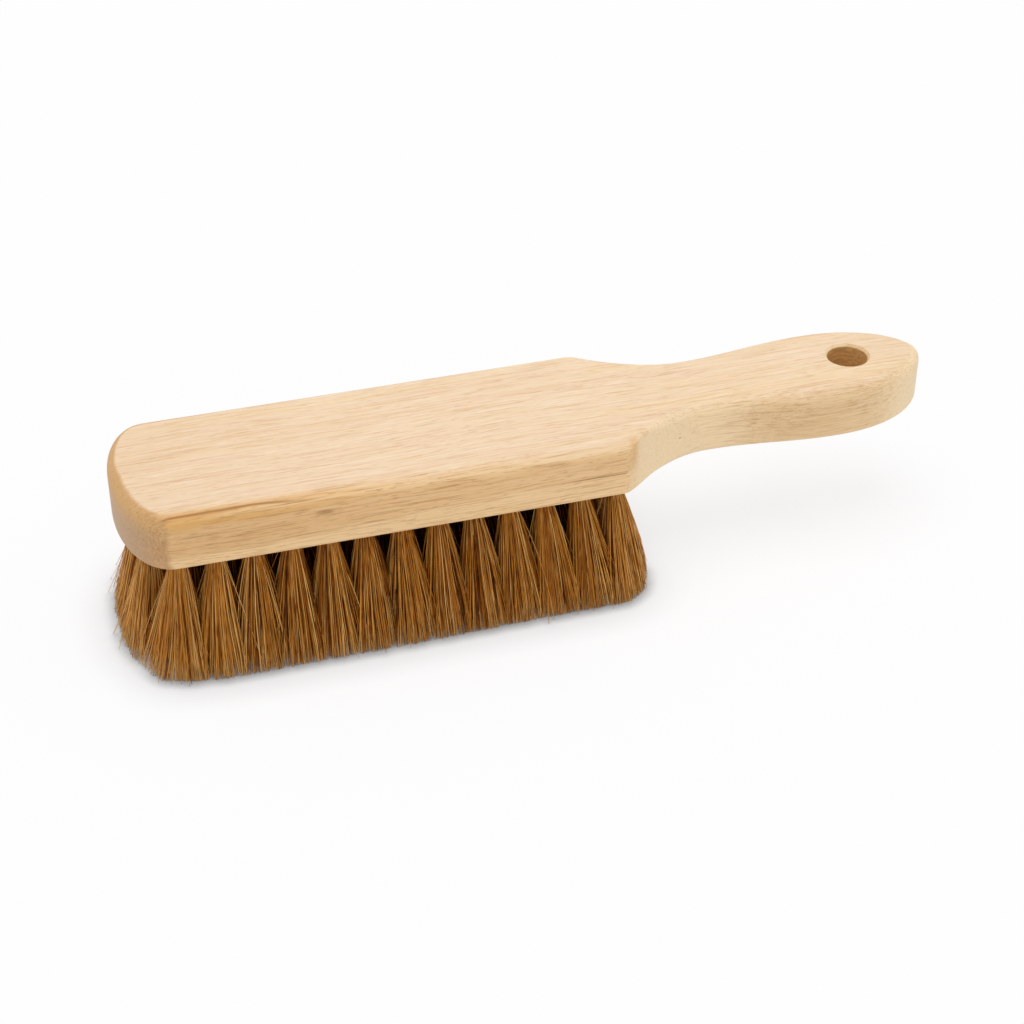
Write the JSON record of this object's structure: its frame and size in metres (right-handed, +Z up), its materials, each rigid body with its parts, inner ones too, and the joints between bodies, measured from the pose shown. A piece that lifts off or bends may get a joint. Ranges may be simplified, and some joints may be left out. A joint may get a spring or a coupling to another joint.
{
  "type": "hand brush",
  "caption": "Hand brush with a flat solid beech stock, a waisted handle with a hanging hole, and rows of flared brown fibre tufts trimmed level.",
  "frame": {"origin": "centre of the brush's footprint, at the level of the trimmed bristle tips that it stands on", "axes": "+X along the stock from the head's nose towards the handle's tip, +Y across it, +Z up out of the flat top"},
  "size_m": [0.2826, 0.0776, 0.058],
  "materials": {
    "beech": "smooth sanded beech, lightly sealed, satin",
    "bristle_fibre": "caramel brown brush fibre, matt with a slight sheen"
  },
  "bodies": {
    "root": {"wooden_body": "beech", "tuft_row1_01": "bristle_fibre", "tuft_row1_02": "bristle_fibre", "tuft_row1_03": "bristle_fibre", "tuft_row1_04": "bristle_fibre", "tuft_row1_05": "bristle_fibre", "tuft_row1_06": "bristle_fibre", "tuft_row1_07": "bristle_fibre", "tuft_row1_08": "bristle_fibre", "tuft_row1_09": "bristle_fibre", "tuft_row1_10": "bristle_fibre", "tuft_row1_11": "bristle_fibre", "tuft_row1_12": "bristle_fibre", "tuft_row1_13": "bristle_fibre", "tuft_row2_01": "bristle_fibre", "tuft_row2_02": "bristle_fibre", "tuft_row2_03": "bristle_fibre", "tuft_row2_04": "bristle_fibre", "tuft_row2_05": "bristle_fibre", "tuft_row2_06": "bristle_fibre", "tuft_row2_07": "bristle_fibre", "tuft_row2_08": "bristle_fibre", "tuft_row2_09": "bristle_fibre", "tuft_row2_10": "bristle_fibre", "tuft_row2_11": "bristle_fibre", "tuft_row2_12": "bristle_fibre", "tuft_row2_13": "bristle_fibre", "tuft_row3_01": "bristle_fibre", "tuft_row3_02": "bristle_fibre", "tuft_row3_03": "bristle_fibre", "tuft_row3_04": "bristle_fibre", "tuft_row3_05": "bristle_fibre", "tuft_row3_06": "bristle_fibre", "tuft_row3_07": "bristle_fibre", "tuft_row3_08": "bristle_fibre", "tuft_row3_09": "bristle_fibre", "tuft_row3_10": "bristle_fibre", "tuft_row3_11": "bristle_fibre", "tuft_row3_12": "bristle_fibre", "tuft_row3_13": "bristle_fibre", "tuft_row4_01": "bristle_fibre", "tuft_row4_02": "bristle_fibre", "tuft_row4_03": "bristle_fibre", "tuft_row4_04": "bristle_fibre", "tuft_row4_05": "bristle_fibre", "tuft_row4_06": "bristle_fibre", "tuft_row4_07": "bristle_fibre", "tuft_row4_08": "bristle_fibre", "tuft_row4_09": "bristle_fibre", "tuft_row4_10": "bristle_fibre", "tuft_row4_11": "bristle_fibre", "tuft_row4_12": "bristle_fibre", "tuft_row4_13": "bristle_fibre"}
  },
  "joints": []
}
